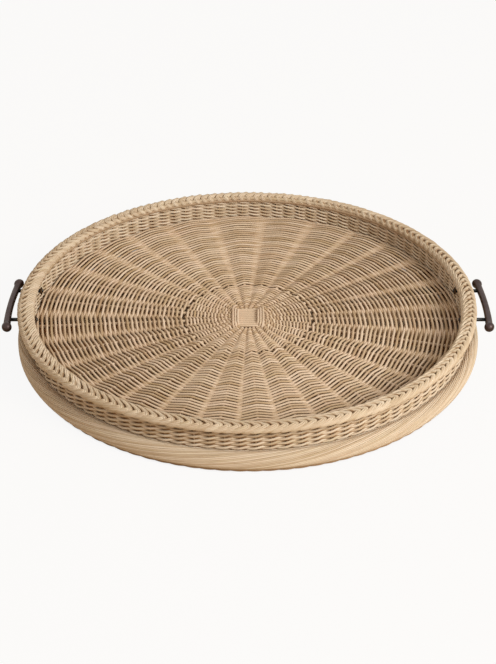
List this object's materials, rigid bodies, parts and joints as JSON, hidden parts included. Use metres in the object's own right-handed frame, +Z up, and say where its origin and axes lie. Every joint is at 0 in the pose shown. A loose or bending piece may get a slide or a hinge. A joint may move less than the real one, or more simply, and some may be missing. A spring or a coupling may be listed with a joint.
{
  "type": "rattan serving tray",
  "caption": "Round shallow rattan tray with a raised woven floor, an upright woven wall, a plaited rim, a fat rolled foot and a dark bar pull at each side.",
  "frame": {"origin": "on the surface that the tray stands on, under the middle of the whole tray", "axes": "+Z up, +X to the viewer's right through both pulls, +Y away from the viewer"},
  "size_m": [0.6628, 0.635, 0.0692],
  "materials": {
    "woven_rattan": "natural round core, dry and matt",
    "plaited_rattan": "natural round core, paler, matt",
    "stick_rattan": "natural round core, dry and matt",
    "dark_iron": "dark brown iron, satin",
    "black_steel": "blackened steel, satin",
    "bronzed_steel": "dark bronzed steel, satin"
  },
  "bodies": {
    "root": {"floor_stick_x_1": "stick_rattan", "floor_stick_x_2": "stick_rattan", "floor_stick_x_3": "stick_rattan", "floor_stick_x_4": "stick_rattan", "floor_stick_x_5": "stick_rattan", "floor_stick_x_6": "stick_rattan", "floor_stick_x_7": "stick_rattan", "floor_stick_x_8": "stick_rattan", "floor_stick_y_1": "stick_rattan", "floor_stick_y_2": "stick_rattan", "floor_stick_y_3": "stick_rattan", "floor_stick_y_4": "stick_rattan", "floor_stick_y_5": "stick_rattan", "floor_stick_y_6": "stick_rattan", "floor_centre_weave": "woven_rattan", "floor_wide_weave": "woven_rattan", "wall_weave": "woven_rattan", "rim_plait": "plaited_rattan", "foot_roll": "woven_rattan", "foot_edge_row": "woven_rattan", "pull_bar_left": "dark_iron", "pull_post_left_front": "black_steel", "pull_nut_left_front": "bronzed_steel", "pull_post_left_back": "black_steel", "pull_nut_left_back": "bronzed_steel", "pull_bar_right": "dark_iron", "pull_post_right_front": "black_steel", "pull_nut_right_front": "bronzed_steel", "pull_post_right_back": "black_steel", "pull_nut_right_back": "bronzed_steel"}
  },
  "joints": []
}
